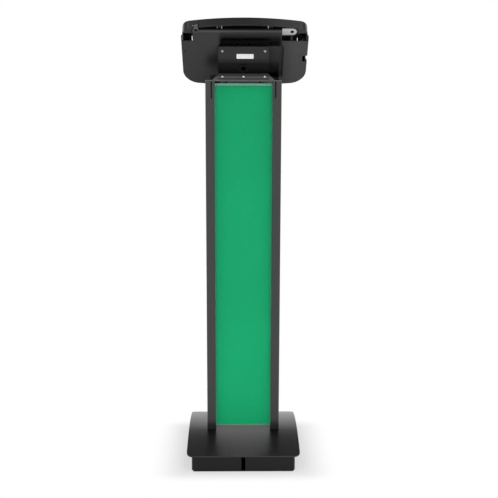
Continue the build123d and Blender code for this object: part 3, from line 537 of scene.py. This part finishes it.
def clear_sheet():
    """Thin clear cover: see-through over the print, with a painted green-grey highlight on the edge that
    stands above it.
    """
    material, tree, shader = blank_material("clear_sheet")
    place = coordinates(tree)
    haze = remap(tree, noise_node(tree, place, **haze_noise), noise_range, haze_roughness)
    # Painted highlight: above this height the sheet turns half opaque and green-grey
    edge = remap(tree, parts_of(tree, place)[2], clear_heights, clear_cover, True)
    feed(tree, shader, {"Base Color": edge_highlight_green, "Roughness": haze, "IOR": clear_index, "Alpha": edge})
    material.surface_render_method = "BLENDED"
    return material


def soft_black(name, colour, roughness, scale, bump, specular):
    """Rubber or foam: fine pores."""
    material, tree, shader = blank_material(name)
    pores = noise_node(tree, coordinates(tree), scale, **pore_noise)
    levels = (roughness - pore_swing, roughness + pore_swing)
    feed(tree, shader, {"Base Color": tint_node(tree, pores, *shades_of(colour, pore_shade)),
                        "Roughness": remap(tree, pores, noise_range, levels),
                        "Specular IOR Level": specular})
    bump_into(tree, shader, pores, bump, pore_relief)
    return material


def label_white():
    """Bare coated paper with a fine fibre."""
    material, tree, shader = blank_material("bare_label")
    fibre = noise_node(tree, coordinates(tree), **fibre_noise)
    feed(tree, shader, {"Base Color": tint_node(tree, fibre, *shades_of(bare_white, fibre_shade)),
                        "Roughness": remap(tree, fibre, noise_range, label_roughness)})
    bump_into(tree, shader, fibre, **label_relief)
    return material


powder_coats = {
    "enclosure_black": {"colour": powder_black, "roughness": 0.42, "specular": 0.75},
    "frame_black": {"colour": powder_black, "roughness": 0.30, "grain": 1200.0, "specular": 0.60},
    "pocket_black": {"colour": sheet_black, "roughness": 0.42, "specular": 0.06, "fade": pocket_shade},
    "base_black": {"colour": powder_black, "roughness": 0.24, "grain": 1800.0, "bump": 0.06,
                   "cloud": 0.03, "specular": 0.60},
    "plinth_black": {"colour": powder_black, "roughness": 0.35, "specular": 0.25},
    "column_black": {"colour": column_black, "roughness": 0.34, "grain": 2200.0, "bump": 0.05,
                     "cloud": 0.03, "specular": 0.12, "fade": upright_shade},
    "boss_black": {"colour": boss_black, "roughness": 0.35},
    "cover_black": {"colour": cover_high, "roughness": 0.45, "specular": 0.22,
                    "painted_low_shade": (cover_heights, cover_low_shade)},
    "neck_black": {"colour": powder_black, "roughness": 0.45},
    "bracket_black": {"colour": powder_black, "roughness": 0.45, "specular": 0.15, "dust_and_top_light": True},
    "primed_steel": {"colour": primer_grey, "roughness": 0.55, "grain": 900.0},
}
drawn_metals = {
    "bright_screws": {"colour": bright_plate, "roughness": 0.22, "lines": 1600.0, "bump": 0.05},
    "dull_screws": {"colour": dull_plate, "roughness": 0.35, "lines": 1600.0, "bump": 0.05},
    "zinc_plate": {"colour": zinc, "roughness": 0.34},
}
soft_blacks = {
    "rubber": {"colour": rubber_black, "roughness": 0.62, "scale": 900.0, "bump": 0.2, "specular": 0.15},
    "foam": {"colour": foam_black, "roughness": 0.85, "scale": 1500.0, "bump": 0.5, "specular": 0.30},
}
finishes = {
    "rail_grey": bottom_strip(),
    "printed_board": printed_board(),
    "clear_sheet": clear_sheet(),
    "bare_label": label_white(),
}
for make, recipes in ((powder_coat, powder_coats), (drawn_metal, drawn_metals), (soft_black, soft_blacks)):
    for name, values in recipes.items():
        finishes[name] = make(name, **values)

finish_of = {
    "base_black": ["base_plate"],
    "plinth_black": ["plinth"],
    "column_black": ["upright_left", "upright_right", "spreader_1", "spreader_2"],
    "rail_grey": ["bottom_rail"],
    "cover_black": ["neck_cover"],
    # Painted light: a paler black on these pieces
    "boss_black": ["anchor_boss", "top_plate", "top_spreader"],
    "neck_black": ["mount_plate", "neck_bolts", "neck_nuts"],
    "bracket_black": ["neck_bracket", "neck_cheeks", "column_cap"],
    "pocket_black": ["back_cover"],
    "enclosure_black": ["lock_guides", "tablet_tray", "frame_catches",
                        "hinge_fixed_leaves", "hinge_moving_leaves"],
    "frame_black": ["front_frame"],
    "primed_steel": ["ballast_plate", "arch_ribs", "cap_nut_bar"],
    "printed_board": ["rear_panel", "front_panel"],
    "clear_sheet": ["rear_clear_cover", "front_clear_cover"],
    "bright_screws": ["column_bolts", "top_plate_screws", "cap_screws", "neck_screws", "mount_screws",
                      "tray_standoffs", "tray_screws", "hinge_pins"],
    "zinc_plate": ["lock_bar"],
    "rubber": ["base_feet", "cable_grommet"],
    "foam": ["tablet_pads", "bezel_gasket"],
}
for finish, names in finish_of.items():
    for name in names:
        item = nodes[name]
        item.data.materials.clear()
        item.data.materials.append(finishes[finish])


# Small pieces

def clear_selection():
    for item in bpy.context.selected_objects:
        item.select_set(False)


def select_faces(mesh, wanted):
    """Edit mode: select the faces that a test picks by their normal."""
    bpy.ops.mesh.select_mode(type="FACE")
    bpy.ops.mesh.select_all(action="DESELECT")
    bpy.ops.object.mode_set(mode="OBJECT")
    for face in mesh.polygons:
        face.select = wanted(face.normal)
    bpy.ops.object.mode_set(mode="EDIT")


def bare_plate():
    """Blank white plate with rounded corners on the neck cover."""
    bpy.ops.mesh.primitive_plane_add(size=1, location=plate_centre, rotation=(radians(-90), 0, 0))
    plate = bpy.context.object
    plate.name = "bare_plate"
    plate.scale = (plate_width, plate_height, 1)
    bpy.ops.object.transform_apply(location=True, rotation=True, scale=True)
    bpy.ops.object.mode_set(mode="EDIT")
    bpy.ops.mesh.select_all(action="SELECT")
    bpy.ops.mesh.bevel(offset=plate_corner, segments=plate_corner_steps, affect="VERTICES")
    bpy.ops.mesh.extrude_region_move(TRANSFORM_OT_translate={"value": (0, plate_thickness, 0)})
    bpy.ops.mesh.select_all(action="SELECT")
    bpy.ops.mesh.normals_make_consistent(inside=False)
    bpy.ops.object.mode_set(mode="OBJECT")
    plate.data.materials.append(finishes["bare_label"])
    plate.select_set(False)
    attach(plate, "stand")


def dome_screw():
    """Low dome head with a hexagon socket over a plain shank, axis up, seat at the origin."""
    bpy.ops.mesh.primitive_cylinder_add(vertices=screw_sides, radius=screw_radius, depth=screw_rim,
                                        location=(0, 0, screw_rim / 2))
    screw = bpy.context.object
    bpy.ops.object.transform_apply(location=True, rotation=True, scale=True)
    bpy.ops.object.mode_set(mode="EDIT")
    select_faces(screw.data, lambda normal: normal.z > straight_up)
    for rise, shrink in screw_dome_shares:
        bpy.ops.mesh.extrude_region_move(TRANSFORM_OT_translate={"value": (0, 0, rise * screw_dome)})
        bpy.ops.transform.resize(value=(shrink, shrink, 1))
    select_faces(screw.data, lambda normal: normal.z < -straight_up)
    bpy.ops.mesh.inset(thickness=screw_radius - shank_radius)
    bpy.ops.mesh.extrude_region_move(TRANSFORM_OT_translate={"value": (0, 0, -shank_length)})
    bpy.ops.mesh.bevel(offset=shank_chamfer, segments=1, affect="EDGES")
    bpy.ops.object.mode_set(mode="OBJECT")
    bpy.ops.mesh.primitive_cylinder_add(vertices=socket_sides, radius=socket_radius,
                                        depth=2 * socket_depth, location=(0, 0, screw_rim + screw_dome))
    cutter = bpy.context.object
    clear_selection()
    bpy.context.view_layer.objects.active = screw
    screw.select_set(True)
    cut = screw.modifiers.new("socket", "BOOLEAN")
    cut.operation = "DIFFERENCE"
    cut.object = cutter
    bpy.ops.object.modifier_apply(modifier=cut.name)
    bpy.data.objects.remove(cutter)
    bpy.ops.object.shade_smooth_by_angle(angle=smooth_below)
    screw.data.materials.append(finishes["bright_screws"])
    clear_selection()
    return screw


def screws_on(pattern, node, places, seat, tilt, finish):
    """One piece of several screws, at places across on one seat, tilted about X away from straight up."""
    copies = []
    for across in places:
        copy = bpy.data.objects.new(node + "_heads", pattern.data.copy())
        scene.collection.objects.link(copy)
        copy.data.transform(Matrix.Translation((across,) + seat) @ Matrix.Rotation(-tilt, 4, "X"))
        copy.select_set(True)
        copies.append(copy)
    bpy.context.view_layer.objects.active = copies[0]
    bpy.ops.object.join()
    piece = bpy.context.object
    clear_selection()
    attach(piece, "stand")
    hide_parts(node)
    piece.data.materials[0] = finishes[finish]


bare_plate()
pattern = dome_screw()
screws_on(pattern, "cap_screws", (-screw_offset, 0, screw_offset), cap_seat, cap_tilt, "bright_screws")
screws_on(pattern, "neck_screws", (-screw_offset, screw_offset), neck_seat, neck_tilt, "dull_screws")
bpy.data.objects.remove(pattern)


# Studio floor, light and camera

def outside_of(tree, half_sizes, reach):
    """How far a place on the floor lies outside a rectangle about the origin, as a share of the reach."""
    past = []
    for way, half, run in zip(parts_of(tree, coordinates(tree)), half_sizes, reach):
        beyond = math_node(tree, "SUBTRACT", math_node(tree, "ABSOLUTE", way), half)
        past.append(math_node(tree, "MAXIMUM", math_node(tree, "DIVIDE", beyond, run), 0.0))
    return length(tree, *past)


def studio_floor():
    """Pale floor, white to the eye and in gloss, with a partly painted soft shadow and a painted black
    shade under the plinth.
    """
    bpy.ops.mesh.primitive_plane_add(size=floor_size, location=(0, 0, 0))
    floor = bpy.context.object
    floor.name = "studio_floor"
    material, tree, shader = blank_material("studio_floor")
    # Painted shade: the floor is black under the plinth
    under_plinth_shade = remap(tree, outside_of(tree, plinth_half, plinth_reach), full, full)
    feed(tree, shader, {"Base Color": tint_node(tree, under_plinth_shade, black, floor_white),
                        "Roughness": floor_roughness, "Specular IOR Level": floor_specular})
    mirrored = light_path(tree, "Is Glossy Ray")
    seen = math_node(tree, "ADD", light_path(tree, "Is Camera Ray"), mirrored, clamp=True)
    seen = math_node(tree, "ADD", seen, light_path(tree, "Is Transmission Ray"), clamp=True)
    # Painted reflection: in gloss the floor glows brighter towards -X than towards +X
    painted_reflection = remap(tree, parts_of(tree, coordinates(tree))[0], floor_reflection_across, floor_painted_reflection, True)
    glow = tree.nodes.new("ShaderNodeEmission")
    feed(tree, glow, {"Color": backdrop_white, "Strength": kept_light(tree, mirrored, painted_reflection)})
    # Partly painted shadow: near the stand the white glow fades, so the floor's own shading shows
    away = outside_of(tree, shadow_half, shadow_reach)
    shown = product(tree, seen, remap(tree, away, full, (contact_white, 1.0), True), under_plinth_shade)
    both = blend_shaders(tree, shown, shader.outputs["BSDF"], glow.outputs["Emission"])
    feed(tree, tree.nodes["Material Output"], {"Surface": both})
    floor.data.materials.append(material)


def studio_world():
    """Light from all round, dim high up beyond the stand and right overhead; plain white to the eye."""
    world = bpy.data.worlds.new("studio")
    scene.world = world
    world.use_nodes = True
    tree = world.node_tree
    tree.nodes.clear()
    x, y, z = parts_of(tree, coordinates(tree, "Generated"))
    front = remap(tree, z, sky_front_rise, sky_front, True)
    around = remap(tree, y, sky_front_to_rear, (front, sky_rear), True)
    overhead = remap(tree, math_node(tree, "ABSOLUTE", x), sky_overhead_across, sky_overhead, True)
    top = remap(tree, z, sky_overhead_rise, full, True)
    change = product(tree, top, math_node(tree, "SUBTRACT", overhead, around))
    room = tree.nodes.new("ShaderNodeBackground")
    feed(tree, room, {"Color": backdrop_white, "Strength": math_node(tree, "ADD", around, change)})
    white = tree.nodes.new("ShaderNodeBackground")
    feed(tree, white, {"Color": backdrop_white})
    both = blend_shaders(tree, light_path(tree, "Is Camera Ray"), room.outputs["Background"],
                         white.outputs["Background"])
    output = tree.nodes.new("ShaderNodeOutputWorld")
    feed(tree, output, {"Surface": both})


def overhead_lamp():
    lamp = bpy.data.lights.new("overhead", "AREA")
    lamp.shape = "RECTANGLE"
    lamp.size, lamp.size_y = lamp_size
    lamp.energy = lamp_power
    holder = bpy.data.objects.new("overhead", lamp)
    scene.collection.objects.link(holder)
    holder.location = lamp_place
    aim = Vector(lamp_target) - Vector(lamp_place)
    holder.rotation_euler = aim.to_track_quat("-Z", "Y").to_euler()


def studio_camera():
    data = bpy.data.cameras.new("studio_camera")
    data.lens = lens
    data.sensor_width = sensor
    data.clip_end = far_clip
    camera = bpy.data.objects.new("studio_camera", data)
    scene.collection.objects.link(camera)
    ahead = Vector((sin(look_aside) * cos(look_down), -cos(look_aside) * cos(look_down), -sin(look_down)))
    across = Vector((-cos(look_aside), -sin(look_aside), 0))
    upward = across.cross(ahead)
    right = across * cos(lean) + upward * sin(lean)
    up = upward * cos(lean) - across * sin(lean)
    turn = Matrix((right, up, -ahead)).transposed()
    camera.matrix_world = Matrix.Translation(eye) @ turn.to_4x4()
    scene.camera = camera


studio_floor()
studio_world()
overhead_lamp()
studio_camera()
scene.view_settings.view_transform = "Standard"
